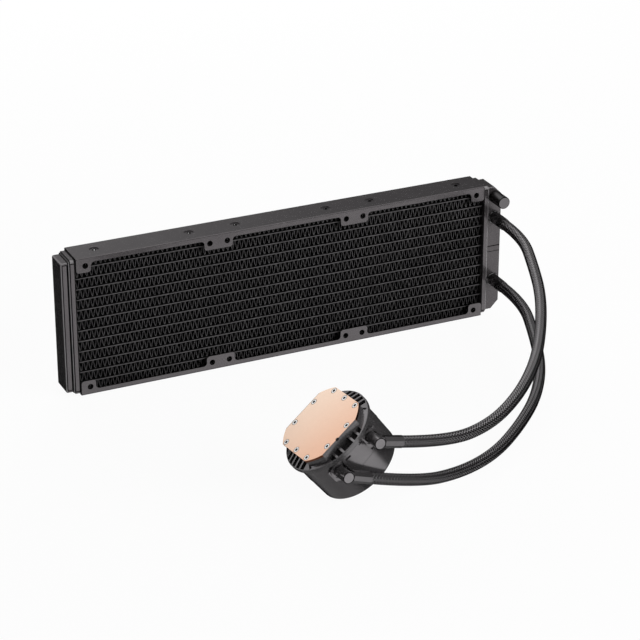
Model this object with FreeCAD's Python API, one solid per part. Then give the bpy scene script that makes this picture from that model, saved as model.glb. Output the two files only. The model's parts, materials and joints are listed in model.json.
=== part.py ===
import FreeCAD, Part
import math
import os

# All in one liquid cooler: a 360 mm radiator on its long edge, a pump block with
# a copper cold plate lying in front of it, and the two hoses between them.
# Millimetres. +X runs along the radiator, +Y points to its rear, +Z up.
# The origin is the centre of the bottom channel's outer face, on the floor.

V = FreeCAD.Vector

# Fan bays side by side: they give the radiator its length and height
bay_count = 3
bay_pitch = 120.0
bay_relief = 1.5
fan_hole_inset = 7.5

# Radiator frame: two folded channels
frame_length = bay_count * bay_pitch
frame_height = bay_pitch - bay_relief
frame_depth = 27.0
sheet = 1.2
bend_radius = 1.1
lip_height = 4.2
tab_height = 12.4
corner_tab_width = 12.2
middle_tab_width = 24.5
tab_round = 2.5
lip_round = 3.0

# Fan screw holes, one at each corner of a bay
fan_hole_spacing = bay_pitch - 2 * fan_hole_inset
fan_hole_radius = 1.75
fan_collar_wall = 1.1
fan_collar_height = 1.8
fan_dimple_radius = 2.4
fan_dimple_depth = 0.9

# Screw holes along the narrow sides, at thirds of a bay
side_hole_offsets = (bay_pitch / 3, bay_pitch * 2 / 3, bay_pitch * 4 / 3)
side_hole_radius = 1.75
side_dimple_radius = 4.0
side_dimple_depth = 0.7

# Core: flat tubes with folded fin strips between them
tube_count = 12
tube_thickness = 1.2
tube_wall = 0.3
core_gap = 0.15
core_depth = 19.6
fin_depth = 16.0
braze_gap = 0.05
fin_wave_count = 57
fin_wall = 0.3

# Header plates and end tanks
header_gap = 0.5
header_floor = 1.5
header_rim_height = 2.2
header_rim_wall = 2.0
header_edge_round = 2.8
header_lip_height = 1.3
header_lip_wall = 1.0
slot_clearance = 0.02
tank_inset = 3.25
tank_height = frame_height - 2 * tank_inset
tank_depth = 20.4
tank_wall = 1.6
tank_corner_round = 1.4
tank_edge_round = 0.8
left_tank_reach = 9.7
right_tank_reach = 16.2
right_tank_chamfer = 7.0
panel_margin = 1.4
panel_mouth_margin = 0.5
panel_end_margin = 0.9
panel_groove_width = 0.8
panel_groove_depth = 0.8
panel_corner_round = 1.0
baffle_thickness = 1.5
rib_height = 4.2
rib_proud = 0.3
rib_groove_width = 0.7
rib_groove_depth = 0.6
seat_clearance = 0.05

# Ports on the right tank's front face
port_setback = 6.4
port_share = 0.475
port_spacing = port_share * bay_pitch
port_flange_radius = 5.9
port_flange_thickness = 1.3
port_flange_chamfer = 0.4
port_neck_radius = 3.5
stub_radius = 2.9
stub_bore = 2.1
stub_grip = 10.0
radiator_sleeve_length = 16.5
radiator_sleeve_flats = 9.8
fill_port_drop = 8.8
fill_neck_radius = 3.9
fill_neck_bore = 2.8
fill_neck_length = 11.0
fill_cap_radius = 5.3
fill_cap_length = 16.4
fill_cap_wall = 1.2
fill_cap_round = 0.5

# Pump block pose: the block leans towards -X, resting on its cap's rim
pump_x = -75.25
pump_y = -238.0
pump_lean = 38.1
pump_nod = -2.3
pump_turn = -4.8

# Cold plate
plate_half = 28.6
plate_corner_radius = 33.6
plate_thickness = 1.8
plate_notch_radius = 1.2
plate_notch_place = -1.8
microfin_half = 12.0
microfin_height = 4.0
microfin_pitch = 1.2
microfin_wall = 0.5
screw_row = 25.7
screw_end_offset = 16.3
screw_side_offset = 10.3
screw_head_radius = 2.1
screw_head_depth = 1.1
screw_shank_radius = 1.2
screw_length = 14.0
screw_hole_clearance = 0.1
screw_socket_flats = 2.2
screw_socket_depth = 0.9

# Base ring under the cold plate
base_inset = 0.4
base_end = 11.5
base_cavity_half = 20.5
base_floor_start = 8.0
base_eye_radius = 7.0
ring_radius = 36.4
ring_rim_start = 8.2
ring_cone_start = 5.6
ring_cone_radius = 28.6
ring_rim_wall = 0.8
ring_rim_chamfer = 0.4
ring_rim_round = 0.3
ring_foot_round = 0.5
comb_slot_count = 5
comb_slot_pitch = 5.4
comb_slot_width = 3.8
comb_floor = 1.0
side_bar_places = (5.3, 11.2)
side_bar_width = 1.7
side_pocket_end = 15.5
side_drain_radius = 1.0
side_drain_place = 30.6
gusset_start = 15.2
gusset_end = 19.8
gusset_tip = 18.4
gusset_reach = 2.4
gusset_depth = 2.6
gasket_half = 22.6
gasket_width = 1.4
gasket_height = 1.2
gasket_round = 6.0

# Jet plate over the microfins
jet_half_x = 13.5
jet_half_y = 19.5
jet_thickness = 2.1
jet_slot_width = 2.4
jet_slot_length = 22.0

# Housing with the impeller chamber and the two ports
housing_radius = 33.8
housing_end = 28.5
housing_floor = 1.5
chamber_radius = 17.5
chamber_end = 21.0
cup_flange_radius = 24.0
cup_flange_thickness = 1.2
stator_bay_radius = 24.5
board_bay_start = 26.0
board_bay_radius = 29.3
spigot_radius = 31.1
spigot_height = 2.5
eye_hole_radius = 1.6
eye_hole_circle = 5.0
eye_hole_count = 6
port_half_spacing = 16.7
port_rise = 6.9
socket_radius = 4.45
socket_bottom = 22.0
flow_bore_radius = 2.6
flow_bore_depth = 17.8
return_hole_place = 17.5
pad_face = 30.5
pad_inner = 10.7
pad_outer = 22.9
pad_margin = 1.5
pad_inner_round = 0.6
pad_outer_round = 5.5
socket_mouth_radius = 5.3
socket_mouth_depth = 1.2
boss_clearance = 0.2
boss_inset = 0.4
wide_slot_ends = (-8.5, -3.5)
wide_slot_heights = (14.4, 16.0)
wide_slot_depth = 2.0
fine_slot_ends = (6.0, 9.6)
fine_slot_heights = (14.2, 15.0)
fine_slot_depth = 3.0
seam_gap = 0.25

# Rotor, isolation cup, stator and board
shaft_radius = 1.5
shaft_start = 11.9
shaft_socket = 1.0
shaft_fit = 0.02
bearing_clearance = 0.05
hub_radius = 3.2
hub_start = 14.0
hub_end = 27.2
impeller_radius = 16.0
impeller_disc_start = 19.2
impeller_disc_thickness = 1.4
blade_count = 7
blade_start = 14.5
blade_wall = 1.2
blade_inner_radius = 4.4
blade_outer_radius = 15.5
blade_sweep = 38.0
blade_bow = 0.35
magnet_radius = 8.1
magnet_start = 21.4
magnet_end = 27.0
cup_radius = 9.6
cup_wall = 1.0
cup_end = 29.0
cup_round = 0.4
core_yoke_radius = 20.0
core_yoke_wall = 3.0
tooth_count = 6
tooth_width = 3.5
tooth_start = 24.2
tooth_height = 4.0
coil_width = 7.0
coil_start = 22.3
coil_end = 29.9
coil_inner = 11.6
coil_outer = 16.4
board_radius = 28.0
board_thickness = 1.6
driver_chip = (-6.0, 6.0, 4.0, 12.0, 1.4)
sensor_chip = (10.0, 16.0, -8.0, -2.0, 1.0)
large_capacitor = (-14.0, -8.0, 3.0, 5.0)
small_capacitor = (4.0, -14.0, 2.2, 4.0)

# Pump cap
cap_top_radius = 33.6
cap_end_radius = 33.0
cap_end = 48.8
cap_wall = 2.0
cap_round = 1.5
grommet_radius = 3.2
grommet_place = 38.0
grommet_flange = 4.4
grommet_flange_thickness = 1.2
grommet_flange_round = 0.4
grommet_tail = 2.0
grommet_bore = 1.7

# Swivel elbows
elbow_radius = 4.4
elbow_end = 44.5
elbow_arm_place = 39.5
elbow_bore = 2.4
elbow_chamfer = 0.15
elbow_neck_radius = 3.6
elbow_neck_length = 5.0
upper_arm_angle = 51.0
lower_arm_angle = 56.0
pump_sleeve_end = 20.5
pump_sleeve_flats = 8.8
seal_place = 25.3
seal_width = 1.6
seal_inner_radius = 3.4
seal_clearance = 0.02
clip_place = 28.75
clip_thickness = 1.1
clip_groove_radius = 3.6
clip_reach_in = 3.9
clip_reach_out = 7.0
clip_inset = 1.8
part_clearance = 0.05
cut_over = 1.0
same_place = 1e-6

# Hoses
hose_radius = 4.6
hose_bore = 3.0
arc_share = 0.45

# Straight leads out of the radiator's sleeves and into the elbows' sleeves
upper_leads = (32.0, 41.0)
lower_leads = (36.0, 42.0)

# Each hose's route from the radiator to the pump, between its two leads
upper_route = (
    (179.5, -99.0, 80.5),
    (164.0, -139.0, 75.0),
    (143.5, -176.5, 65.5),
    (119.5, -211.0, 56.0),
    (88.5, -240.5, 47.5),
    (52.5, -263.0, 41.5),
)
lower_route = (
    (178.0, -107.0, 23.5),
    (161.0, -149.5, 16.5),
    (135.5, -187.0, 11.5),
    (103.0, -218.5, 8.0),
    (67.0, -246.0, 5.5),
    (27.5, -265.5, 8.0),
)

# Derived places
mid_height = frame_height / 2
half_length = frame_length / 2
half_depth = frame_depth / 2
fin_height = (frame_height - 2 * sheet - 2 * core_gap - tube_count * tube_thickness) / (tube_count + 1)
tube_pitch = fin_height + tube_thickness
header_start = half_length + header_gap
header_face = header_start + header_floor
tank_clear = header_rim_height + header_lip_height
port_x = header_face + right_tank_reach - port_setback
tank_front = -tank_depth / 2
port_seat = tank_front - port_flange_thickness
sleeve_mouth = port_seat - radiator_sleeve_length
port_heights = (mid_height + port_spacing / 2, mid_height - port_spacing / 2)
fill_height = mid_height + tank_height / 2 - fill_port_drop
block_wall = plate_half - base_inset
pad_start = base_end + pad_margin
pad_finish = housing_end - pad_margin
port_depth = pad_start + port_rise
clip_half_height = (pad_finish - pad_start) / 2 - clip_inset
hub_bore = shaft_radius + bearing_clearance
barb_end = pump_sleeve_end + stub_grip


def box(x0, x1, y0, y1, z0, z1):
    return Part.makeBox(x1 - x0, y1 - y0, z1 - z0, V(x0, y0, z0))


def rod(radius, start, direction, length):
    return Part.makeCylinder(radius, length, start, direction)


def pipe(outer, inner, start, direction, length):
    return rod(outer, start, direction, length).cut(rod(inner, start, direction, length))


def rounded_wire(corners):
    """Closed outline through (point, radius) corners, with a tangent arc at each radius."""
    edges = []
    firsts = []
    lasts = []
    count = len(corners)
    for i in range(count):
        point, radius = corners[i]
        before = (corners[i - 1][0] - point).normalize()
        after = (corners[(i + 1) % count][0] - point).normalize()
        if radius <= 0:
            firsts.append(point)
            lasts.append(point)
            edges.append(None)
            continue
        half = before.getAngle(after) / 2
        setback = radius / math.tan(half)
        bisector = (before + after).normalize()
        middle = point + bisector * (radius / math.sin(half) - radius)
        first = point + before * setback
        last = point + after * setback
        firsts.append(first)
        lasts.append(last)
        edges.append(Part.Arc(first, middle, last).toShape())
    outline = []
    for i in range(count):
        if edges[i] is not None:
            outline.append(edges[i])
        start = lasts[i]
        end = firsts[(i + 1) % count]
        if start.distanceToPoint(end) > same_place:
            outline.append(Part.LineSegment(start, end).toShape())
    return Part.Wire(outline)


def prism(corners, along):
    return Part.Face(rounded_wire(corners)).extrude(along)


def revolved(profile):
    """Solid of revolution about the Z axis from (radius, z, corner radius) points."""
    corners = [(V(r, 0, z), rounding) for r, z, rounding in profile]
    return Part.Face(rounded_wire(corners)).revolve(V(0, 0, 0), V(0, 0, 1), 360)


def octagon(flats, start, direction, length):
    """Eight-sided bar, its flats square to the local axes."""
    wire = Part.Wire(Part.makePolygon([
        V(
            flats / 2 / math.cos(math.pi / 8) * math.cos(math.pi / 8 + k * math.pi / 4),
            flats / 2 / math.cos(math.pi / 8) * math.sin(math.pi / 8 + k * math.pi / 4),
            0,
        )
        for k in range(9)
    ]))
    bar = Part.Face(wire).extrude(V(0, 0, length))
    bar.Placement = FreeCAD.Placement(start, FreeCAD.Rotation(V(0, 0, 1), direction))
    return bar


def merged(first, others):
    return first.fuse(others).removeSplitter()


# Radiator

def flange_outline(y, edge, inward):
    """Channel flange seen from the front: a lip with corner tabs and double middle tabs."""
    lip = edge + inward * lip_height
    tab = edge + inward * tab_height
    corners = [
        (V(-half_length, y, edge), 0),
        (V(-half_length, y, tab), tab_round),
        (V(-half_length + corner_tab_width, y, tab), tab_round),
        (V(-half_length + corner_tab_width, y, lip), lip_round),
    ]
    for k in range(1, bay_count):
        middle = (k - bay_count / 2) * bay_pitch
        left = middle - middle_tab_width / 2
        right = middle + middle_tab_width / 2
        corners.append((V(left, y, lip), lip_round))
        corners.append((V(left, y, tab), tab_round))
        corners.append((V(right, y, tab), tab_round))
        corners.append((V(right, y, lip), lip_round))
    corners.append((V(half_length - corner_tab_width, y, lip), lip_round))
    corners.append((V(half_length - corner_tab_width, y, tab), tab_round))
    corners.append((V(half_length, y, tab), tab_round))
    corners.append((V(half_length, y, edge), 0))
    return corners


def fan_hole_columns():
    """X places of the fan screw holes: two for each bay."""
    places = []
    for k in range(bay_count):
        centre = (k - (bay_count - 1) / 2) * bay_pitch
        places.append(centre - fan_hole_spacing / 2)
        places.append(centre + fan_hole_spacing / 2)
    return places


def channel(edge, inward):
    """One folded channel: web, two flanges, screw collars and side dimples."""
    inner = edge + inward * sheet
    web = box(-half_length, half_length, -half_depth, half_depth, min(edge, inner), max(edge, inner))
    front = prism(flange_outline(-half_depth, edge, inward), V(0, sheet, 0))
    rear = prism(flange_outline(half_depth, edge, inward), V(0, -sheet, 0))
    body = merged(web, [front, rear])
    bends = []
    for line in body.Edges:
        low, high = line.BoundBox.YMin, line.BoundBox.YMax
        on_face = abs(abs(low) - half_depth) < same_place and abs(high - low) < same_place
        on_edge = abs(line.BoundBox.ZMin - edge) < same_place and abs(line.BoundBox.ZMax - edge) < same_place
        if on_face and on_edge:
            bends.append(line)
    body = body.makeFillet(bend_radius, bends)
    row = mid_height - inward * fan_hole_spacing / 2
    collars = []
    cuts = []
    collar_length = sheet + fan_collar_height
    for x in fan_hole_columns():
        for side in (-1, 1):
            face = V(x, side * half_depth, row)
            way = V(0, -side, 0)
            collars.append(rod(fan_hole_radius + fan_collar_wall, face, way, collar_length))
            cuts.append(rod(fan_hole_radius, face, way, collar_length))
            cuts.append(rod(fan_dimple_radius, face, way, fan_dimple_depth))
    for offset in side_hole_offsets:
        for x in (-offset, offset):
            cuts.append(rod(side_hole_radius, V(x, 0, edge), V(0, 0, inward), sheet))
            cuts.append(rod(side_dimple_radius, V(x, 0, edge), V(0, 0, inward), side_dimple_depth))
    return merged(body, collars).cut(cuts)


def stadium(x, z, thickness, depth, length):
    """Bar along X with a flat cross-section and half-round front and rear edges."""
    half = depth / 2 - thickness / 2
    reach = depth / 2
    r = thickness / 2
    edges = [
        Part.LineSegment(V(x, -half, z + r), V(x, half, z + r)).toShape(),
        Part.Arc(V(x, half, z + r), V(x, reach, z), V(x, half, z - r)).toShape(),
        Part.LineSegment(V(x, half, z - r), V(x, -half, z - r)).toShape(),
        Part.Arc(V(x, -half, z - r), V(x, -reach, z), V(x, -half, z + r)).toShape(),
    ]
    return Part.Face(Part.Wire(edges)).extrude(V(length, 0, 0))


def tube_height(index):
    return mid_height + (index - (tube_count - 1) / 2) * tube_pitch


def flat_tube(index):
    z = tube_height(index)
    outer = stadium(-header_face, z, tube_thickness, core_depth, 2 * header_face)
    thin = tube_thickness - 2 * tube_wall
    inner = stadium(-header_face, z, thin, core_depth - 2 * tube_wall, 2 * header_face)
    return outer.cut(inner)


def fin_strip(index):
    """Folded fin strip, one above and one below every tube."""
    centre = tube_height(index) - tube_pitch / 2
    step = (frame_length - 2 * braze_gap) / (2 * fin_wave_count)
    slope = math.atan2(fin_height, step)
    rise = fin_wall / math.cos(slope)
    swing = fin_height / 2 - braze_gap - rise / 2
    count = 2 * fin_wave_count + 1
    line = []
    for k in range(count):
        x = -half_length + braze_gap + k * step
        line.append((x, centre + (swing if k % 2 == 0 else -swing)))
    top = [V(x, -fin_depth / 2, z + rise / 2) for x, z in line]
    low = [V(x, -fin_depth / 2, z - rise / 2) for x, z in reversed(line)]
    outline = Part.Wire(Part.makePolygon(top + low + [top[0]]))
    return Part.Face(outline).extrude(V(0, fin_depth, 0))


def header_frame(x, wall, rounding, along):
    """Block across the core's end that stands out from the tank by the wall, all round."""
    half_y = tank_depth / 2 + seat_clearance + wall
    half_z = tank_height / 2 + seat_clearance + wall
    corners = [
        (V(x, -half_y, mid_height - half_z), rounding),
        (V(x, half_y, mid_height - half_z), rounding),
        (V(x, half_y, mid_height + half_z), rounding),
        (V(x, -half_y, mid_height + half_z), rounding),
    ]
    return prism(corners, V(along, 0, 0))


def header_plate(side):
    """Tray on the core's end: slotted floor for the tubes, rim and thinner lip around the tank."""
    start = side * header_start
    floor = side * header_face
    end = side * (header_face + tank_clear)
    lip_corner = header_edge_round - header_rim_wall + header_lip_wall
    rim = header_frame(start, header_rim_wall, header_edge_round, side * (header_floor + header_rim_height))
    lip = header_frame(start, header_lip_wall, lip_corner, end - start)
    tray = merged(rim, [lip])
    well_y = tank_depth / 2 + seat_clearance
    well_z = tank_height / 2 + seat_clearance
    well = box(
        min(floor, end), max(floor, end),
        -well_y, well_y,
        mid_height - well_z, mid_height + well_z,
    )
    slots = []
    for k in range(tube_count):
        x = min(start, floor)
        slots.append(stadium(
            x, tube_height(k),
            tube_thickness + 2 * slot_clearance,
            core_depth + 2 * slot_clearance,
            header_floor,
        ))
    return tray.cut([well] + slots)


def tank_outline(x0, x1, inset, chamfer, rounding):
    """Tank seen from the front, between its mouth x0 and its end x1."""
    low = mid_height - tank_height / 2 + inset
    high = mid_height + tank_height / 2 - inset
    way = 1 if x1 > x0 else -1
    end = x1 - way * inset
    if chamfer > 0:
        return [
            (V(x0, 0, low), 0),
            (V(end - way * chamfer, 0, low), 0),
            (V(end, 0, low + chamfer), 0),
            (V(end, 0, high - chamfer), 0),
            (V(end - way * chamfer, 0, high), 0),
            (V(x0, 0, high), 0),
        ]
    return [
        (V(x0, 0, low), 0),
        (V(end, 0, low), rounding),
        (V(end, 0, high), rounding),
        (V(x0, 0, high), 0),
    ]


def tank_block(x0, x1, inset, chamfer, rounding):
    half = tank_depth / 2 - inset
    block = prism(tank_outline(x0, x1, inset, chamfer, rounding), V(0, 2 * half, 0))
    block.translate(V(0, -half, 0))
    return block


def tank_shell(x0, x1, chamfer, rounding):
    """Tank's outside, with its front and rear edges rounded from the mouth to the end."""
    block = tank_block(x0, x1, 0, chamfer, rounding)
    rims = []
    for edge in block.Edges:
        bounds = edge.BoundBox
        on_face = bounds.YLength < same_place and abs(abs(bounds.YMin) - tank_depth / 2) < same_place
        at_mouth = bounds.XLength < same_place and abs(bounds.XMin - x0) < same_place
        if on_face and not at_mouth:
            rims.append(edge)
    return block.makeFillet(tank_edge_round, rims)


def panel_groove(x0, x1, front):
    """Narrow groove around the stamped panel on a tank's front or rear face."""
    low = mid_height - tank_height / 2 + panel_margin
    high = mid_height + tank_height / 2 - panel_margin
    y = front * (tank_depth / 2 - panel_groove_depth)
    along = V(0, front * panel_groove_depth, 0)
    outer = [
        (V(x0, y, low), panel_corner_round),
        (V(x1, y, low), panel_corner_round),
        (V(x1, y, high), panel_corner_round),
        (V(x0, y, high), panel_corner_round),
    ]
    way = 1 if x1 > x0 else -1
    w = panel_groove_width
    inner = [
        (V(x0 + way * w, y, low + w), panel_corner_round / 2),
        (V(x1 - way * w, y, low + w), panel_corner_round / 2),
        (V(x1 - way * w, y, high - w), panel_corner_round / 2),
        (V(x0 + way * w, y, high - w), panel_corner_round / 2),
    ]
    return prism(outer, along).cut(prism(inner, along))


def left_tank():
    mouth = -header_face
    end = mouth - left_tank_reach
    shell = tank_shell(mouth, end, 0, tank_corner_round)
    hollow = tank_block(mouth, end, tank_wall, 0, tank_corner_round / 2)
    start = mouth - tank_clear - panel_mouth_margin
    stop = end + panel_end_margin
    grooves = [panel_groove(start, stop, -1), panel_groove(start, stop, 1)]
    return shell.cut([hollow] + grooves)


def right_tank():
    """Deeper tank with the ports, a partition rib and chamfered outer corners."""
    mouth = header_face
    end = mouth + right_tank_reach
    shell = tank_shell(mouth, end, right_tank_chamfer, 0)
    rib_start = mouth + tank_clear + seat_clearance
    rib_end = end - tank_edge_round
    rib = box(
        rib_start, rib_end,
        tank_front - rib_proud, tank_front + tank_wall / 2,
        mid_height - rib_height / 2, mid_height + rib_height / 2,
    )
    cuts = [tank_block(mouth, end, tank_wall, right_tank_chamfer, 0)]
    for side in (-1, 1):
        near = mid_height + side * rib_height / 2
        far = near + side * rib_groove_width
        cuts.append(box(
            rib_start, rib_end,
            tank_front, tank_front + rib_groove_depth,
            min(near, far), max(near, far),
        ))
    for z in port_heights:
        cuts.append(rod(port_neck_radius + part_clearance, V(port_x, tank_front, z), V(0, 1, 0), tank_wall))
    fill = V(port_x, tank_front, fill_height)
    cuts.append(rod(fill_neck_radius + part_clearance, fill, V(0, 1, 0), tank_wall))
    return merged(shell, [rib]).cut(cuts)


def tank_baffle():
    """Plate inside the right tank that keeps the hot and the cooled coolant apart."""
    half = tank_depth / 2 - tank_wall - part_clearance
    return box(
        header_face + part_clearance,
        header_face + right_tank_reach - tank_wall - part_clearance,
        -half, half,
        mid_height - baffle_thickness / 2, mid_height + baffle_thickness / 2,
    )


def hose_port(z):
    """Port soldered into the tank: neck, collar and the stub that the hose slides over."""
    seat = V(port_x, tank_front, z)
    neck = rod(port_neck_radius, V(port_x, tank_front + tank_wall, z), V(0, -1, 0), tank_wall)
    collar = rod(port_flange_radius, seat, V(0, -1, 0), port_flange_thickness)
    stub = rod(stub_radius, seat, V(0, -1, 0), tank_front - sleeve_mouth + stub_grip)
    bore_start = V(port_x, tank_front + tank_wall, z)
    bore = rod(stub_bore, bore_start, V(0, -1, 0), tank_wall + tank_front - sleeve_mouth + stub_grip)
    rounded = collar.makeChamfer(port_flange_chamfer, [
        edge for edge in collar.Edges
        if len(edge.Vertexes) == 1 and abs(edge.BoundBox.YMin - port_seat) < same_place
        and abs(edge.BoundBox.YMax - port_seat) < same_place
    ])
    return merged(neck, [rounded, stub]).cut(bore)


def radiator_sleeves():
    """The two crimp sleeves on the radiator's hose ports."""
    sleeves = []
    for z in port_heights:
        start = V(port_x, port_seat, z)
        sleeve = octagon(radiator_sleeve_flats, start, V(0, -1, 0), radiator_sleeve_length)
        bore = rod(stub_radius + part_clearance, start, V(0, -1, 0), radiator_sleeve_length)
        sleeves.append(sleeve.cut(bore))
    return Part.makeCompound(sleeves)


def fill_neck():
    inside = V(port_x, tank_front + tank_wall, fill_height)
    neck = rod(fill_neck_radius, inside, V(0, -1, 0), tank_wall + fill_neck_length)
    bore = rod(fill_neck_bore, inside, V(0, -1, 0), tank_wall + fill_neck_length)
    return neck.cut(bore)


def fill_cap():
    """Plain round cap that closes the filling neck."""
    profile = [
        (0, fill_cap_length, 0),
        (fill_cap_radius, fill_cap_length, fill_cap_round),
        (fill_cap_radius, 0, 0),
        (fill_neck_radius + part_clearance, 0, 0),
        (fill_neck_radius + part_clearance, fill_cap_length - fill_cap_wall, 0),
        (0, fill_cap_length - fill_cap_wall, 0),
    ]
    cap = revolved(profile)
    seat = V(port_x, tank_front - part_clearance, fill_height)
    cap.Placement = FreeCAD.Placement(seat, FreeCAD.Rotation(V(0, 0, 1), V(0, -1, 0)))
    return cap


# Pump block, built in its own frame: X and Y across the copper plate, Z into the block

def pump_axes():
    """Directions of the block's own axes: along the plate, towards the elbows, inwards."""
    lean = math.radians(pump_lean)
    nod = math.radians(pump_nod)
    turn = math.radians(pump_turn)
    normal = V(-math.sin(lean), 0, math.cos(lean))
    along = V(math.cos(lean), 0, math.sin(lean))
    across = V(0, -1, 0)
    tilted = normal * math.cos(nod) + across * math.sin(nod)
    across = across * math.cos(nod) - normal * math.sin(nod)
    turned = along * math.cos(turn) + across * math.sin(turn)
    across = across * math.cos(turn) - along * math.sin(turn)
    return turned, across, tilted * -1


def pump_placement():
    """The block leans with its cap's rounded rim just on the floor."""
    along, across, inward = pump_axes()
    drop = -inward.z
    side = math.sqrt(1 - drop * drop)
    height = drop * (cap_end - cap_round) + side * (cap_end_radius - cap_round) + cap_round
    turn = FreeCAD.Rotation(along, across, inward, "ZXY")
    return FreeCAD.Placement(V(pump_x, pump_y, height), turn)


def placed(shape):
    moved = shape.copy()
    moved.Placement = pump_placement().multiply(moved.Placement)
    return moved


def clipped_square(half, radius, z0, z1):
    """Square block with its corners rounded off by one large circle."""
    block = box(-half, half, -half, half, z0, z1)
    return block.common(rod(radius, V(0, 0, z0), V(0, 0, 1), z1 - z0))


def screw_places():
    places = []
    for side in (-1, 1):
        places.append((side * screw_row, 0.0))
        for end in (-1, 1):
            places.append((side * screw_row, end * screw_end_offset))
            places.append((end * screw_side_offset, side * screw_row))
    return places


def screw_cone(extra):
    """Countersunk head with its shank, grown by a clearance."""
    return revolved([
        (0, 0, 0),
        (screw_head_radius + extra, 0, 0),
        (screw_shank_radius + extra, screw_head_depth, 0),
        (screw_shank_radius + extra, screw_length + extra, 0),
        (0, screw_length + extra, 0),
    ])


def screw_cutters():
    cutters = []
    for x, y in screw_places():
        cutter = screw_cone(screw_hole_clearance)
        cutter.translate(V(x, y, 0))
        cutters.append(cutter)
    return cutters


def cold_plate():
    plate = clipped_square(plate_half, plate_corner_radius, 0, plate_thickness)
    notch = rod(plate_notch_radius, V(plate_notch_place, plate_half, 0), V(0, 0, 1), plate_thickness)
    top = plate_thickness + microfin_height
    fins = []
    count = int(2 * microfin_half / microfin_pitch)
    for k in range(count + 1):
        x = -microfin_half + k * (2 * microfin_half - microfin_wall) / count
        fins.append(box(x, x + microfin_wall, -microfin_half, microfin_half, plate_thickness, top))
    return merged(plate, fins).cut([notch] + screw_cutters())


def cold_plate_screws():
    socket_radius_out = screw_socket_flats / 2 / math.cos(math.pi / 6)
    corners = [
        V(
            socket_radius_out * math.cos(math.radians(60 * k)),
            socket_radius_out * math.sin(math.radians(60 * k)),
            0,
        )
        for k in range(7)
    ]
    socket = Part.Face(Part.Wire(Part.makePolygon(corners))).extrude(V(0, 0, screw_socket_depth))
    screw = screw_cone(0).cut(socket)
    screws = []
    for x, y in screw_places():
        one = screw.copy()
        one.translate(V(x, y, 0))
        screws.append(one)
    return Part.makeCompound(screws)


def square_ring(half, width, rounding, z0, z1):
    outer = [
        (V(-half, -half, z0), rounding),
        (V(half, -half, z0), rounding),
        (V(half, half, z0), rounding),
        (V(-half, half, z0), rounding),
    ]
    less = half - width
    inner = [
        (V(-less, -less, z0), rounding - width),
        (V(less, -less, z0), rounding - width),
        (V(less, less, z0), rounding - width),
        (V(-less, less, z0), rounding - width),
    ]
    along = V(0, 0, z1 - z0)
    return prism(outer, along).cut(prism(inner, along))


def cold_plate_gasket():
    start = plate_thickness
    return square_ring(
        gasket_half + gasket_width / 2, gasket_width, gasket_round,
        start, start + gasket_height,
    )


def jet_plate():
    start = base_floor_start - jet_thickness
    plate = box(-jet_half_x, jet_half_x, -jet_half_y, jet_half_y, start, base_floor_start)
    half_slot = jet_slot_length / 2
    slot = box(-jet_slot_width / 2, jet_slot_width / 2, -half_slot, half_slot, start, base_floor_start)
    return plate.cut(slot)


def return_hole(z0, z1):
    return rod(flow_bore_radius, V(-port_half_spacing, return_hole_place, z0), V(0, 0, 1), z1 - z0)


def side_pocket_spans():
    """Stretches between the slim bars along the ring's two sides."""
    half = side_bar_width / 2
    inner, outer = side_bar_places
    return [
        (-side_pocket_end, -outer - half),
        (-outer + half, -inner - half),
        (-inner + half, inner - half),
        (inner + half, outer - half),
        (outer + half, side_pocket_end),
    ]


def ring_slots():
    """Parallel slots at the ring's two ends and pockets along its two sides."""
    cutters = []
    depth = base_end - comb_floor
    ring_inside = rod(ring_radius - ring_rim_wall, V(0, 0, 0), V(0, 0, 1), depth)
    for k in range(comb_slot_count):
        centre = (k - (comb_slot_count - 1) / 2) * comb_slot_pitch
        low = centre - comb_slot_width / 2
        for side in (-1, 1):
            x0, x1 = sorted((side * block_wall, side * ring_radius))
            cutters.append(box(x0, x1, low, low + comb_slot_width, 0, depth))
    for low, high in side_pocket_spans():
        for side in (-1, 1):
            y0, y1 = sorted((side * block_wall, side * ring_radius))
            cutters.append(box(low, high, y0, y1, 0, depth))
    slots = [cutter.common(ring_inside) for cutter in cutters]
    for side in (-1, 1):
        slots.append(rod(side_drain_radius, V(0, side * side_drain_place, depth), V(0, 0, 1), comb_floor))
    return slots


def gussets():
    """Small three-cornered pockets beside the ends of the two rows of slots."""
    cutters = []
    for side in (-1, 1):
        for end in (-1, 1):
            corners = [
                (V(side * block_wall, end * gusset_start, 0), 0),
                (V(side * block_wall, end * gusset_end, 0), 0),
                (V(side * (block_wall + gusset_reach), end * gusset_tip, 0), 0),
            ]
            cutters.append(prism(corners, V(0, 0, ring_cone_start + gusset_depth)))
    return cutters


def base_ring():
    """Moulded base: the block under the copper plate and the mounting ring around it."""
    block = clipped_square(block_wall, plate_corner_radius - base_inset, plate_thickness, base_end)
    ring = revolved([
        (0, ring_cone_start, 0),
        (ring_cone_radius, ring_cone_start, 0),
        (ring_radius - ring_rim_wall, ring_rim_start - ring_rim_chamfer, 0),
        (ring_radius, ring_rim_start, ring_rim_round),
        (ring_radius, base_end, ring_foot_round),
        (0, base_end, 0),
    ])
    body = merged(block, [ring])
    half = base_cavity_half
    cavity = box(-half, half, -half, half, plate_thickness, base_floor_start)
    eye = rod(base_eye_radius, V(0, 0, base_floor_start), V(0, 0, 1), base_end - base_floor_start)
    groove = square_ring(
        gasket_half + gasket_width / 2 + part_clearance,
        gasket_width + 2 * part_clearance,
        gasket_round,
        plate_thickness, plate_thickness + gasket_height + part_clearance,
    )
    cuts = [cavity, eye, groove, return_hole(base_floor_start, base_end)]
    return body.cut(cuts + ring_slots() + gussets() + screw_cutters())


def pad_outline(side, y):
    low = side * pad_inner
    high = side * pad_outer
    return [
        (V(low, y, pad_start), pad_inner_round),
        (V(high, y, pad_start), pad_outer_round),
        (V(high, y, pad_finish), pad_outer_round),
        (V(low, y, pad_finish), pad_inner_round),
    ]


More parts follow.
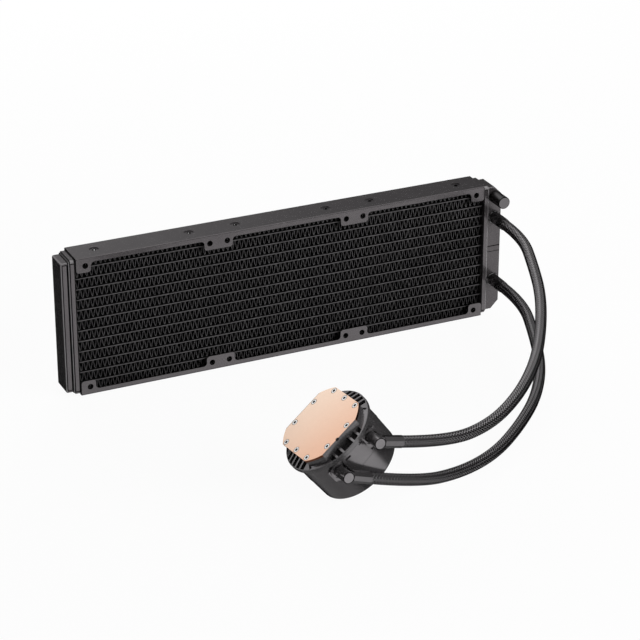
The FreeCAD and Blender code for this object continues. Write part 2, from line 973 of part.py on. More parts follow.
def clip_outline(side, grow):
    """U-shaped clip seen along the elbow, its mouth towards the block's middle."""
    centre = side * port_half_spacing
    inner = centre - side * (clip_reach_in + grow)
    outer = centre + side * (clip_reach_out + grow)
    y = clip_place - clip_thickness / 2 - grow
    plate = box(
        min(inner, outer), max(inner, outer),
        y, y + clip_thickness + 2 * grow,
        port_depth - clip_half_height - grow, port_depth + clip_half_height + grow,
    )
    return plate


def elbow_clips():
    """The two clips that keep the elbows in their sockets."""
    clips = []
    for side in (-1, 1):
        plate = clip_outline(side, 0)
        radius = clip_groove_radius + part_clearance
        centre = side * port_half_spacing
        y = clip_place - clip_thickness
        mouth = centre - side * (clip_reach_in + cut_over)
        hole = rod(radius, V(centre, y, port_depth), V(0, 1, 0), 2 * clip_thickness)
        gap = box(
            min(mouth, centre), max(mouth, centre),
            y, y + 2 * clip_thickness,
            port_depth - radius, port_depth + radius,
        )
        clips.append(plate.cut([hole, gap]))
    return Part.makeCompound(clips)


def pump_housing():
    """Housing with the impeller chamber, the port sockets and the seats of the stator."""
    top = housing_end + spigot_height
    body = revolved([
        (0, base_end, 0),
        (housing_radius, base_end, 0),
        (housing_radius, housing_end, seam_gap),
        (spigot_radius, housing_end, 0),
        (spigot_radius, top, 0),
        (0, top, 0),
    ])
    pads = []
    over_pads = []
    sockets = []
    slots = []
    for side in (-1, 1):
        corners = pad_outline(side, stator_bay_radius)
        pads.append(prism(corners, V(0, pad_face - stator_bay_radius, 0)))
        over_pads.append(prism(pad_outline(side, pad_face), V(0, ring_radius, 0)))
        socket = V(side * port_half_spacing, socket_bottom, port_depth)
        sockets.append(rod(socket_radius, socket, V(0, 1, 0), pad_face - socket_bottom))
        mouth = V(side * port_half_spacing, pad_face - socket_mouth_depth, port_depth)
        sockets.append(rod(socket_mouth_radius, mouth, V(0, 1, 0), socket_mouth_depth))
        slots.append(clip_outline(side, part_clearance))
    floor_end = base_end + housing_floor
    boss_height = hub_start - floor_end - boss_clearance
    boss = rod(hub_radius - boss_inset, V(0, 0, floor_end), V(0, 0, 1), boss_height)
    chamber = rod(chamber_radius, V(0, 0, floor_end), V(0, 0, 1), chamber_end - floor_end)
    seat_end = chamber_end + cup_flange_thickness
    seat = rod(cup_flange_radius + part_clearance, V(0, 0, chamber_end), V(0, 0, 1), seat_end - chamber_end)
    bay = rod(stator_bay_radius, V(0, 0, seat_end), V(0, 0, 1), top - seat_end)
    wide = rod(board_bay_radius, V(0, 0, board_bay_start), V(0, 0, 1), top - board_bay_start)
    outlet = rod(
        flow_bore_radius, V(port_half_spacing, 0, flow_bore_depth), V(0, 1, 0), socket_bottom,
    )
    inlet = rod(
        flow_bore_radius, V(-port_half_spacing, return_hole_place, flow_bore_depth),
        V(0, 1, 0), socket_bottom - return_hole_place,
    )
    shaft_hole = rod(
        shaft_radius + shaft_fit, V(0, 0, shaft_start), V(0, 0, 1), hub_start - shaft_start,
    )
    eyes = []
    for k in range(eye_hole_count):
        angle = math.radians(360 / eye_hole_count * k)
        x = eye_hole_circle * math.cos(angle)
        y = eye_hole_circle * math.sin(angle)
        eyes.append(rod(eye_hole_radius, V(x, y, base_end), V(0, 0, 1), housing_floor))
    outside = housing_radius + cut_over
    panel_slots = [
        box(*wide_slot_ends, housing_radius - wide_slot_depth, outside, *wide_slot_heights),
        box(*fine_slot_ends, housing_radius - fine_slot_depth, outside, *fine_slot_heights),
    ]
    shell = merged(body.cut([chamber, seat, bay, wide] + over_pads), pads + [boss])
    cuts = sockets + slots + eyes + panel_slots + screw_cutters()
    cuts += [outlet, inlet, shaft_hole, return_hole(base_end, flow_bore_depth)]
    return shell.cut(cuts)


def rotor_shaft():
    end = cup_end - cup_wall + shaft_socket / 2
    return rod(shaft_radius, V(0, 0, shaft_start), V(0, 0, 1), end - shaft_start)


def impeller():
    """Hub, disc and swept blades, in one moulding."""
    hub = rod(hub_radius, V(0, 0, hub_start), V(0, 0, 1), hub_end - hub_start)
    disc = rod(impeller_radius, V(0, 0, impeller_disc_start), V(0, 0, 1), impeller_disc_thickness)
    blades = []
    height = impeller_disc_start - blade_start
    sweep = math.radians(blade_sweep)
    for k in range(blade_count):
        turn = math.radians(360 / blade_count * k)
        outline = []
        for edge in (-1, 1):
            points = []
            for radius, share in (
                (blade_inner_radius, 0),
                ((blade_inner_radius + blade_outer_radius) / 2, blade_bow),
                (blade_outer_radius, 1),
            ):
                angle = turn + sweep * share
                out = V(math.cos(angle), math.sin(angle), 0)
                beside = V(-math.sin(angle), math.cos(angle), 0)
                points.append(out * radius + beside * (edge * blade_wall / 2) + V(0, 0, blade_start))
            outline.append(points)
        low, high = outline
        wire = Part.Wire([
            Part.Arc(low[0], low[1], low[2]).toShape(),
            Part.LineSegment(low[2], high[2]).toShape(),
            Part.Arc(high[2], high[1], high[0]).toShape(),
            Part.LineSegment(high[0], low[0]).toShape(),
        ])
        blades.append(Part.Face(wire).extrude(V(0, 0, height)))
    bore = rod(hub_bore, V(0, 0, hub_start), V(0, 0, 1), hub_end - hub_start)
    return merged(disc, [hub] + blades).cut(bore)


def rotor_magnet():
    inner = hub_radius + part_clearance
    return pipe(magnet_radius, inner, V(0, 0, magnet_start), V(0, 0, 1), magnet_end - magnet_start)


def isolation_cup():
    """Thin cup between the wet rotor and the dry stator."""
    inside = cup_radius - cup_wall
    end = cup_end - cup_wall
    start = chamber_end
    cup = revolved([
        (inside, start, 0),
        (cup_flange_radius, start, 0),
        (cup_flange_radius, start + cup_flange_thickness, 0),
        (cup_radius, start + cup_flange_thickness, 0),
        (cup_radius, cup_end, cup_round),
        (0, cup_end, 0),
        (0, end, 0),
        (inside, end, 0),
    ])
    socket = rod(shaft_radius + shaft_fit, V(0, 0, end), V(0, 0, 1), shaft_socket / 2)
    return cup.cut(socket)


def tooth_angle(k):
    return 360 / tooth_count * k


def turned_bar(x0, x1, width, z0, z1, angle):
    bar = box(x0, x1, -width / 2, width / 2, z0, z1)
    bar.rotate(V(0, 0, 0), V(0, 0, 1), angle)
    return bar


def stator_core():
    """Laminated ring with inward teeth that hug the cup."""
    yoke = pipe(
        core_yoke_radius, core_yoke_radius - core_yoke_wall,
        V(0, 0, tooth_start), V(0, 0, 1), tooth_height,
    )
    teeth = []
    for k in range(tooth_count):
        root = core_yoke_radius - core_yoke_wall / 2
        z1 = tooth_start + tooth_height
        teeth.append(turned_bar(cup_radius - cut_over, root, tooth_width, tooth_start, z1, tooth_angle(k)))
    bore = rod(cup_radius + part_clearance, V(0, 0, tooth_start), V(0, 0, 1), tooth_height)
    return merged(yoke, teeth).cut(bore)


def stator_coils():
    """Six wound coils, each around one tooth."""
    coils = []
    gap = part_clearance
    for k in range(tooth_count):
        angle = tooth_angle(k)
        coil = turned_bar(coil_inner, coil_outer, coil_width, coil_start, coil_end, angle)
        hole = turned_bar(
            coil_inner - cut_over, coil_outer + cut_over, tooth_width + 2 * gap,
            tooth_start - gap, tooth_start + tooth_height + gap, angle,
        )
        coils.append(coil.cut(hole))
    return Part.makeCompound(coils)


def circuit_board():
    """Round driver board on the coils, with its plain components."""
    start = coil_end + part_clearance
    board = rod(board_radius, V(0, 0, start), V(0, 0, 1), board_thickness)
    top = start + board_thickness
    components = []
    for x0, x1, y0, y1, height in (driver_chip, sensor_chip):
        components.append(box(x0, x1, y0, y1, top, top + height))
    for x, y, radius, height in (large_capacitor, small_capacitor):
        components.append(rod(radius, V(x, y, top), V(0, 0, 1), height))
    return merged(board, components)


def pump_cap():
    """Outer cap over the electronics; the block rests on its rounded rim."""
    inside = spigot_radius + part_clearance
    cap = revolved([
        (inside, housing_end, 0),
        (cap_top_radius, housing_end, seam_gap),
        (cap_end_radius, cap_end, cap_round),
        (0, cap_end, 0),
        (0, cap_end - cap_wall, 0),
        (inside, cap_end - cap_wall, cap_round / 2),
    ])
    hole = rod(grommet_radius, V(0, 0, grommet_place), V(0, -1, 0), cap_top_radius + cut_over)
    return cap.cut(hole)


def cable_grommet():
    """Rubber bush in the cap's wall, where the pump's lead comes out."""
    inner = spigot_radius - grommet_tail
    seat = cap_top_radius + 2 * part_clearance
    end = seat + grommet_flange_thickness
    bush = revolved([
        (grommet_bore, inner, 0),
        (grommet_radius - part_clearance, inner, 0),
        (grommet_radius - part_clearance, seat, 0),
        (grommet_flange, seat, 0),
        (grommet_flange, end, grommet_flange_round),
        (grommet_bore, end, 0),
    ])
    bush.Placement = FreeCAD.Placement(V(0, 0, grommet_place), FreeCAD.Rotation(V(0, 0, 1), V(0, -1, 0)))
    return bush


def arm_direction(angle):
    """Way that an elbow's arm points, turned from the plate's length towards the cap."""
    return V(math.cos(math.radians(angle)), 0, math.sin(math.radians(angle)))


def elbow(side, angle):
    """Swivel elbow: spigot in the housing's socket, plain round body and side arm."""
    centre = side * port_half_spacing
    start = V(centre, socket_bottom + part_clearance, port_depth)
    length = elbow_end - start.y
    body = rod(elbow_radius, start, V(0, 1, 0), length)
    body = body.makeChamfer(elbow_chamfer, [
        edge for edge in body.Edges
        if len(edge.Vertexes) == 1 and edge.BoundBox.YMin > elbow_end - same_place
    ])
    joint = V(centre, elbow_arm_place, port_depth)
    way = arm_direction(angle)
    neck = rod(elbow_neck_radius, joint, way, elbow_neck_length)
    stub = rod(stub_radius, joint, way, barb_end)
    seal_start = V(centre, seal_place - seal_width / 2, port_depth)
    seal_groove = pipe(elbow_radius + cut_over, seal_inner_radius, seal_start, V(0, 1, 0), seal_width)
    clip_start = V(centre, clip_place - clip_thickness / 2 - part_clearance, port_depth)
    clip_width = clip_thickness + 2 * part_clearance
    clip_groove = pipe(elbow_radius + cut_over, clip_groove_radius, clip_start, V(0, 1, 0), clip_width)
    bore_in = rod(elbow_bore, start, V(0, 1, 0), elbow_arm_place - start.y)
    bore_out = rod(stub_bore, joint, way, barb_end)
    body = merged(body, [neck, stub])
    return body.cut([seal_groove, clip_groove, bore_in, bore_out])


def elbow_seals():
    """The two seal rings in the port sockets."""
    rings = []
    for side in (-1, 1):
        width = seal_width - 2 * part_clearance
        start = V(side * port_half_spacing, seal_place - width / 2, port_depth)
        outer = socket_radius - seal_clearance
        rings.append(pipe(outer, seal_inner_radius + seal_clearance, start, V(0, 1, 0), width))
    return Part.makeCompound(rings)


def pump_sleeve(side, angle):
    """Eight-sided sleeve on an elbow's arm."""
    joint = V(side * port_half_spacing, elbow_arm_place, port_depth)
    way = arm_direction(angle)
    start = joint + way * elbow_neck_length
    length = pump_sleeve_end - elbow_neck_length
    corners = [
        V(
            0,
            pump_sleeve_flats / 2 / math.cos(math.pi / 8) * math.cos(math.pi / 8 + k * math.pi / 4),
            pump_sleeve_flats / 2 / math.cos(math.pi / 8) * math.sin(math.pi / 8 + k * math.pi / 4),
        )
        for k in range(9)
    ]
    sleeve = Part.Face(Part.Wire(Part.makePolygon(corners))).extrude(V(length, 0, 0))
    sleeve.Placement = FreeCAD.Placement(start, FreeCAD.Rotation(V(0, 1, 0), -angle))
    return sleeve.cut(rod(stub_radius + part_clearance, joint, way, barb_end))


# Hoses

def hose_points(route, leads, side, angle, z):
    """Whole route: both leads run on the axes of the sleeves that they meet."""
    mouth = V(port_x, sleeve_mouth, z)
    out = mouth + V(0, -leads[0], 0)
    joint = V(side * port_half_spacing, elbow_arm_place, port_depth)
    way = arm_direction(angle)
    bend = pump_placement().multVec(joint + way * (pump_sleeve_end + leads[1]))
    end = pump_placement().multVec(joint + way * pump_sleeve_end)
    return [mouth, out] + [V(*point) for point in route] + [bend, end]


def hose_path(points, name):
    """Straight runs joined by tangent arcs, each as large as its two runs allow."""
    edges = []
    radii = []
    previous = points[0]
    for i in range(1, len(points) - 1):
        corner = points[i]
        back = points[i - 1] - corner
        ahead = points[i + 1] - corner
        reach = arc_share * min(back.Length, ahead.Length)
        turn = math.pi - back.getAngle(ahead)
        radius = reach / math.tan(turn / 2)
        radii.append(round(radius, 1))
        back.normalize()
        ahead.normalize()
        first = corner + back * reach
        last = corner + ahead * reach
        bisector = (back + ahead).normalize()
        middle = corner + bisector * (radius / math.cos(turn / 2) - radius)
        edges.append(Part.LineSegment(previous, first).toShape())
        edges.append(Part.Arc(first, middle, last).toShape())
        previous = last
    edges.append(Part.LineSegment(previous, points[-1]).toShape())
    print(name, "arc radii", radii)
    print(name, "points", [tuple(round(value, 3) for value in point) for point in points])
    return Part.Wire(edges)


def hose(points, name):
    path = hose_path(points, name)
    tangent = (points[1] - points[0]).normalize()
    outer = Part.Wire(Part.Circle(points[0], tangent, hose_radius).toShape())
    inner = Part.Wire(Part.Circle(points[0], tangent, hose_bore).toShape())
    body = path.makePipeShell([outer], True, False)
    bore = path.makePipeShell([inner], True, False)
    tube = body.cut(bore)
    section = math.pi * (hose_radius ** 2 - hose_bore ** 2)
    print(name, "length", round(path.Length, 1))
    print(name, "volume", round(tube.Volume), "expected", round(section * path.Length))
    return tube


def write(name, shape):
    shape.exportStep("parts/" + name + ".step")
    if not shape.isValid():
        print("not valid:", name)
    print(name, len(shape.Solids), "solids", round(shape.Volume, 1), "mm3")


def main():
    os.makedirs("parts", exist_ok=True)
    write("top_channel", channel(frame_height, -1))
    write("bottom_channel", channel(0.0, 1))
    write("left_header_plate", header_plate(-1))
    write("right_header_plate", header_plate(1))
    write("left_tank", left_tank())
    write("right_tank", right_tank())
    write("tank_baffle", tank_baffle())
    for k in range(tube_count):
        write("flat_tube_%02d" % (k + 1), flat_tube(k))
    for k in range(tube_count + 1):
        write("fin_strip_%02d" % (k + 1), fin_strip(k))
    write("outlet_port", hose_port(port_heights[0]))
    write("inlet_port", hose_port(port_heights[1]))
    write("radiator_sleeves", radiator_sleeves())
    write("fill_neck", fill_neck())
    write("fill_cap", fill_cap())
    write("cold_plate", placed(cold_plate()))
    write("cold_plate_screws", placed(cold_plate_screws()))
    write("cold_plate_gasket", placed(cold_plate_gasket()))
    write("jet_plate", placed(jet_plate()))
    write("base_ring", placed(base_ring()))
    write("pump_housing", placed(pump_housing()))
    write("impeller", placed(impeller()))
    write("rotor_magnet", placed(rotor_magnet()))
    write("rotor_shaft", placed(rotor_shaft()))
    write("isolation_cup", placed(isolation_cup()))
    write("stator_core", placed(stator_core()))
    write("stator_coils", placed(stator_coils()))
    write("circuit_board", placed(circuit_board()))
    write("pump_cap", placed(pump_cap()))
    write("cable_grommet", placed(cable_grommet()))
    write("upper_elbow", placed(elbow(1, upper_arm_angle)))
    write("lower_elbow", placed(elbow(-1, lower_arm_angle)))
    write("elbow_seals", placed(elbow_seals()))
    write("elbow_clips", placed(elbow_clips()))
    write("upper_elbow_sleeve", placed(pump_sleeve(1, upper_arm_angle)))
    write("lower_elbow_sleeve", placed(pump_sleeve(-1, lower_arm_angle)))
    upper_points = hose_points(upper_route, upper_leads, 1, upper_arm_angle, port_heights[0])
    lower_points = hose_points(lower_route, lower_leads, -1, lower_arm_angle, port_heights[1])
    write("upper_hose", hose(upper_points, "upper_hose"))
    write("lower_hose", hose(lower_points, "lower_hose"))


main()
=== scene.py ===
import json
import math

import bmesh
import bpy
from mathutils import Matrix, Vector


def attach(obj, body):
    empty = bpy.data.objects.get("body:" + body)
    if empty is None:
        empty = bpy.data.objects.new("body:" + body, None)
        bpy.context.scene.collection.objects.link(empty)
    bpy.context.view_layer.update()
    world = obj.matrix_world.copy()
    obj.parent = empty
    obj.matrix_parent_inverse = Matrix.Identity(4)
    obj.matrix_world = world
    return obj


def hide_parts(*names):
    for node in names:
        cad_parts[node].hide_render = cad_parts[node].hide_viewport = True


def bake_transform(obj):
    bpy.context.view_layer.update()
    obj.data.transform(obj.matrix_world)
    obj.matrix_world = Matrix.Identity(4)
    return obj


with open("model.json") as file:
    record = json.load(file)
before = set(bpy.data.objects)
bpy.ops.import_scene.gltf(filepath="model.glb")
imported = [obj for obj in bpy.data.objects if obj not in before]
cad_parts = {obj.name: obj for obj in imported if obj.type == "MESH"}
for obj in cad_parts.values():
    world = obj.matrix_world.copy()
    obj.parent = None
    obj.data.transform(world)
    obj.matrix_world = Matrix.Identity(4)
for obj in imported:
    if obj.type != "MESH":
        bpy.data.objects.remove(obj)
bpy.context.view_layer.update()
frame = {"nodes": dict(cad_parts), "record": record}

MM = 0.001

# Camera of the photograph
CAMERA_PLACE = (-0.73582, -1.65791, 0.87290)
CAMERA_AZIMUTH = -24.94
CAMERA_ELEVATION = 25.04
CAMERA_LENS = 136.547
CAMERA_SENSOR = 36.0
CAMERA_CLIP = (0.05, 50.0)

# Widths of the soft borders where one finish passes into another, in metres
BLUR = 0.00005
HAIR = 0.0001

# Radiator, in metres: height of its middle, then faces and ends measured from the middle
MID_HEIGHT = 0.05925
FRAME_FACE = 0.0135
FRAME_SHEET = 0.0012
FRAME_HEIGHT = 0.1185
BEND_REACH = 0.0015
HOLE_LIP = 0.00015
DIMPLE_FLOOR = 0.0585
DIMPLE_REACH = (0.009, 0.0095)
HEADER_START = 0.1805
RIM_END = 0.1842
LIP_END = 0.1855
TANK_FACE = 0.0102
TANK_HALF_HEIGHT = 0.056
TANK_ROUND = 0.0008
BAND_FACE = 0.0118

# Its joints and grooves, and the port tank, darkened with painted shade
HEADER_JOINT = 0.0008
RIM_JOINT = 0.0007
LIP_JOINT = 0.0006
BAND_CREASE = (0.0549, 0.0556)
CREASE_DEPTH = 0.0003
PANEL_SIDES = (0.186, 0.1908)
PANEL_REACH = 0.0546
GROOVE_DEPTH = 0.0011
RIB_REACH = 0.0021
RIB_GROOVE = 0.0007
RIB_END = 0.1974
PORT_TANK_SHADE = 0.2

# Its edges that get a painted highlight
BAND_ROUND = (0.0559, 0.0579)
BAND_HIGHLIGHT = (0.01, 0.0108)
SIDE_HIGHLIGHT = (0.1909, 0.1917)
LEFT_TANK = (-0.1, 0.0)
LIP_HIGHLIGHT = 0.0005

# Fin strips and tubes, in millimetres
FIN_ROWS = 13
FIN_ROW_PITCH = 9.0
FIN_ROW_CENTRE = 59.25
FIN_FOLDS = 90
FIN_HEIGHT = 7.7
FIN_LENGTH = 359.6
FIN_DEPTH = 16.0
FIN_SHEET = 0.28
FIN_BEND = 0.42
FIN_BEND_DROP = 0.5
FIN_MITRE_LIMIT = 0.5
FIN_RIM = (0.1, 0.03)
TUBE_DEPTH = 19.6
TUBE_RIM = (0.35, 0.15)

# Hoses, in millimetres: each route's control points, and how finely its line is read
UPPER_ROUTE = [
    (191.8, -28.0, 87.75), (191.8, -60.0, 87.75), (179.5, -99.0, 80.5), (164.0, -139.0, 75.0),
    (143.5, -176.5, 65.5), (119.5, -211.0, 56.0), (88.5, -240.5, 47.5), (52.5, -263.0, 41.5),
    (11.673, -275.414, 42.128), (-28.258, -276.293, 51.385),
]
LOWER_ROUTE = [
    (191.8, -28.0, 30.75), (191.8, -64.0, 30.75), (178.0, -107.0, 23.5), (161.0, -149.5, 16.5),
    (135.5, -187.0, 11.5), (103.0, -218.5, 8.0), (67.0, -246.0, 5.5), (27.5, -265.5, 8.0),
    (-15.06, -278.682, 16.22), (-54.994, -279.248, 29.22),
]
ROUTE_FINENESS = 48

# The hose's rubber tube
HOSE_BORE = 6.0
TUBE_SINK = 0.4
TUBE_SIDES = 24
TUBE_RINGS = 270

# Its woven sleeve: strands each way, the length of one crossing and a strand's section
SLEEVE_STRANDS = 10
SLEEVE_CELL = 2.6
SLEEVE_RADIUS = 4.36
SLEEVE_SWING = 0.12
RINGS_A_CELL = 6
STRAND_WIDTH = 1.5
STRAND_HEIGHT = 0.22
STRAND_SECTION = ((-0.5, 0.0), (-0.38, 0.85), (0.0, 1.0), (0.38, 0.85), (0.5, 0.0))
FILAMENTS = 5
YARN_SIDE = (0.26, 0.42)
YARN_CROWN = (-0.1, 0.7)

# Directions of the pump block: along its plate, across it towards the elbows, and out of it
PLATE_ALONG = (0.78625, 0.08361, 0.61223)
PLATE_ACROSS = (0.04117, -0.99569, 0.08310)
PLATE_NORMAL = (-0.61654, 0.04013, 0.78630)

# Copper plate along those directions, in metres from the middle of its face
PLATE_MIDDLE = (-0.04346, 0.23871, 0.08257)
PLATE_FAR_EDGE = (-0.0282, -0.0284)
PLATE_SIDE = -0.0002
PLATE_STRAIGHT = 0.0172
PLATE_TURN = 0.0004
PLATE_SHADE_SPAN = (-0.045, 0.06)
MARK_SCALES = (700.0, 2100.0, 700.0)
SCREW_PLACES = ((0.0257, 0.0163, 0.0), (0.0257, 0.0, 0.0), (0.0103, 0.0257, 0.0))
SCREW_RADIUS = 0.0021
SCREW_SEAT = 0.0004
SOCKET_MOUTH = -0.00015

# Painted shadow lines round the swivel elbows' ends, in the same directions, and round the fill
# cap's end
ELBOW_AXIS = (0.0167, -0.0199, 0.0)
ELBOW_LINE_START = 0.0441
ELBOW_LINE_RADIUS = 0.0038
CAP_AXIS = (0.1918, 0.10645, 0.0)
CAP_LINE_END = (-0.02625, -0.02605)
CAP_LINE_RADIUS = 0.0046
CAP_SIDE_LINE = (0.0051, 0.0057)
CAP_SIDE_SHADE = 0.6

# Fine patterns inside the block: pitch of fins' louvres, core sheets and coil wires, in metres
LOUVRE_PITCH = 0.0011
CORE_SHEET_PITCH = 0.0005
WIRE_PITCH = 0.0004
BOARD_LANES = (1900.0, 1700.0)

# Studio glows in the gloss: where each changes, from and to, and its strength before and after
FRONT_GLOW_WAY = (0.55, -0.79, -0.27)
FRONT_GLOW = (0.86, 0.955, 0.0, 1.1)
BACK_GLOW_WAY = (-0.42, 0.82, 0.39)
BACK_GLOW = (0.6, 0.95, 0.0, 1.2)
BACK_GLOW_FOOT = (-0.15, 0.1)
HIGH_GLOW = (0.1, 0.6, 0.0, 0.12)
TOP_GLOW = (0.6, 0.88, 0.0, 1.1)
LOW_GLOW_FOOT = (-0.6, -0.45)
LOW_GLOW_TOP = (-0.16, -0.06, 1.0, 0.0)
LOW_GLOW_X = (-0.25, 0.0, 1.0, 0.0)
LOW_GLOW_Y = (-0.5, -0.3, 1.0, 0.0)
FLOOR_GLOW = (-0.92, -0.68, 0.3, 0.0)
LEAST_GLOW = 0.02

# Studio: soft light all round, the floor, and lamps by place, target, size and power
SOFT_LIGHT = 0.14
FLOOR_TONE = 0.8
FLOOR_WHITENESS = 0.95
FLOOR_SIZE = 4.0
FLOOR_CELLS = 8
LAMPS = (
    ("front_box", (1.3, -1.75, 0.8), (0.0, -0.1, 0.05), (1.8, 1.2), 52.0),
    ("top_box", (-0.2, -0.3, 2.0), (0.0, -0.1, 0.0), (1.6, 1.2), 5.0),
    ("rear_box", (0.5, 1.9, 0.8), (0.0, 0.0, 0.05), (1.8, 1.2), 40.0),
)


# Shader maths

class Field:
    """A shader socket that can be used in sums and products."""

    def __init__(self, tree, socket):
        self.tree = tree
        self.socket = socket

    def node(self, kind, inputs, out=0, **settings):
        made = self.tree.nodes.new(kind)
        for key, value in settings.items():
            setattr(made, key, value)
        for key, value in inputs.items():
            if isinstance(value, Field):
                self.tree.links.new(value.socket, made.inputs[key])
            else:
                made.inputs[key].default_value = value
        return Field(self.tree, made.outputs[out])

    def math(self, operation, *others):
        inputs = {0: self}
        for index, value in enumerate(others):
            inputs[index + 1] = value
        return self.node("ShaderNodeMath", inputs, operation=operation)

    def __add__(self, other):
        return self.math("ADD", other)

    def __sub__(self, other):
        return self.math("SUBTRACT", other)

    def __mul__(self, other):
        return self.math("MULTIPLY", other)

    def size(self):
        return self.math("ABSOLUTE")

    def wave(self):
        return self.math("SINE")

    def noise(self, scale, detail=2.0, rough=0.5):
        inputs = {"Vector": self, "Scale": scale, "Detail": detail, "Roughness": rough}
        return self.node("ShaderNodeTexNoise", inputs, "Fac")

    def stretched(self, factors):
        return self.node("ShaderNodeVectorMath", {0: self, 1: factors}, operation="MULTIPLY")

    def along(self, direction):
        inputs = {0: self, 1: direction}
        return self.node("ShaderNodeVectorMath", inputs, "Value", operation="DOT_PRODUCT")

    def distance(self, place):
        inputs = {0: self, 1: place}
        return self.node("ShaderNodeVectorMath", inputs, "Value", operation="DISTANCE")

    def part(self, axis):
        return self.node("ShaderNodeSeparateXYZ", {0: self}, axis)

    def step(self, low, high, to_low=0.0, to_high=1.0):
        """Smooth change from one value to the other between low and high."""
        inputs = {"Value": self, "From Min": low, "From Max": high}
        inputs.update({"To Min": to_low, "To Max": to_high})
        return self.node("ShaderNodeMapRange", inputs, interpolation_type="SMOOTHSTEP")

    def spread(self, to_low=0.0, to_high=1.0):
        """Noise, which seldom strays far from one half, spread over the whole span."""
        return self.step(0.3, 0.7, to_low, to_high)

    def beyond(self, edge):
        """One past the edge, nothing before it."""
        return self.step(edge, edge + HAIR)

    def short_of(self, edge):
        """One before the edge, nothing past it."""
        return self.step(edge, edge + HAIR, 1.0, 0.0)

    def within(self, low, high):
        """One between the two values, nothing outside them."""
        return self.step(low - BLUR, low + BLUR) * self.step(high - BLUR, high + BLUR, 1.0, 0.0)

    def tint(self, low, high):
        """Blend of two plain colours by this field."""
        inputs = {0: self, 6: (*low, 1.0), 7: (*high, 1.0)}
        return self.node("ShaderNodeMix", inputs, 2, data_type="RGBA")

    def tinted(self, low, high):
        """Blend of two colour fields by this one."""
        return self.node("ShaderNodeMix", {0: self, 6: low, 7: high}, 2, data_type="RGBA")


def strongest(first, *others):
    """The greatest of several fields."""
    for other in others:
        first = first.math("MAXIMUM", other)
    return first


def material(name, build):
    made = bpy.data.materials.new(name)
    tree = blank_tree(made)
    output = tree.nodes.new("ShaderNodeOutputMaterial")
    shader = tree.nodes.new("ShaderNodeBsdfPrincipled")
    tree.links.new(shader.outputs[0], output.inputs[0])
    place = tree.nodes.new("ShaderNodeTexCoord")
    spot = Field(tree, place.outputs["Object"])
    chart = Field(tree, place.outputs["UV"])
    for key, value in build(spot, chart).items():
        if key == "bump":
            height, distance, strength = value
            inputs = {"Height": height, "Distance": distance, "Strength": strength}
            value = spot.node("ShaderNodeBump", inputs, "Normal")
            key = "Normal"
        if isinstance(value, Field):
            tree.links.new(value.socket, shader.inputs[key])
        else:
            shader.inputs[key].default_value = value
    return made


def blank_tree(owner):
    owner.use_nodes = True
    owner.node_tree.nodes.clear()
    return owner.node_tree


# Finishes: each takes the place on the object and on the strand's chart

def coated(low, high, rough, grain, sheen=0.0, depth=0.00002):
    """Paint or moulded plastic: soft tone changes, fine grain, some metal flake in the coat."""
    def build(spot, chart):
        tone = spot.noise(38.0, 3.0)
        fine = spot.noise(grain, 2.0, 0.6)
        wear = spot.noise(260.0, 4.0, 0.65)
        return {
            "Base Color": (tone * 0.7 + wear * 0.3).spread().tint(low, high),
            "Roughness": wear.spread(rough - 0.02, rough + 0.03) + fine.spread(-0.01, 0.01),
            "Metallic": sheen,
            "bump": (fine, depth, 0.12),
        }
    return build


def fin_sheet(spot, chart):
    """Louvred sheet, lighter at its cut edges, with painted shade, near black, between them where
    little light gets in.
    """
    depth = spot.part("Y")
    slit = (depth * (2 * math.pi / LOUVRE_PITCH)).wave()
    tone = spot.noise(120.0, 2.0)
    edge = depth.size().step(*[(FIN_DEPTH / 2 - inset) * MM for inset in FIN_RIM])
    # Painted shade, near black, away from the front and back edges
    painted_shade_inside = tone.spread().tint((0.001, 0.001, 0.001), (0.003, 0.003, 0.003))
    rim = tone.spread().tint((0.11, 0.106, 0.108), (0.145, 0.14, 0.143))
    return {
        "Base Color": edge.tinted(painted_shade_inside, rim),
        "Roughness": tone.step(0.2, 0.8, 0.4, 0.55),
        "Specular IOR Level": 0.1,
        "bump": (slit, 0.00008, 0.5),
    }


def tube_sheet(spot, chart):
    """Flat tubes: lighter along the rounded edges, with painted shade, near black, on the faces
    between the fins.
    """
    edge = spot.part("Y").size().step(*[(TUBE_DEPTH / 2 - inset) * MM for inset in TUBE_RIM])
    tone = spot.noise(120.0, 2.0)
    # Painted shade, near black, on the faces between the fins
    painted_shade_inside = tone.spread().tint((0.003, 0.003, 0.003), (0.007, 0.007, 0.007))
    rim = tone.spread().tint((0.095, 0.091, 0.093), (0.118, 0.113, 0.116))
    return {
        "Base Color": edge.tinted(painted_shade_inside, rim),
        "Roughness": tone.step(0.2, 0.8, 0.36, 0.48),
        "Specular IOR Level": 0.1,
        "Metallic": 0.4,
        "bump": (spot.noise(1800.0, 2.0), 0.00002, 0.3),
    }


def shaded(plain, shade_at, highlight_at=None):
    """A finish with painted shade, near black, on the joints, grooves and holes that the first mask
    finds, and a painted highlight on the edges that the second mask finds.
    """
    def build(spot, chart):
        made = plain(spot, chart)
        painted_darkness = shade_at(spot)
        if highlight_at is not None:
            # Painted highlight on rounded edges, lighter than the paint and with less metal in it
            painted_highlight = spot.noise(700.0).spread().tint((0.24, 0.23, 0.236), (0.3, 0.288, 0.295))
            edge = highlight_at(spot)
            made["Base Color"] = edge.tinted(made["Base Color"], painted_highlight)
            made["Metallic"] = edge.step(0.0, 1.0, made["Metallic"], 0.3)
        # Painted shade, near black, in joints, grooves and holes
        painted_shade_colour = spot.noise(900.0).spread().tint((0.002, 0.002, 0.002), (0.005, 0.005, 0.005))
        made["Base Color"] = painted_darkness.tinted(made["Base Color"], painted_shade_colour)
        made["Roughness"] = made["Roughness"] + painted_darkness * 0.3
        return made
    return build


def radiator_spot(spot):
    """Place on the radiator: distance from its middle to the side, to the front and in height."""
    height = (spot.part("Z") - MID_HEIGHT).size()
    return spot.part("X").size(), spot.part("Y").size(), height


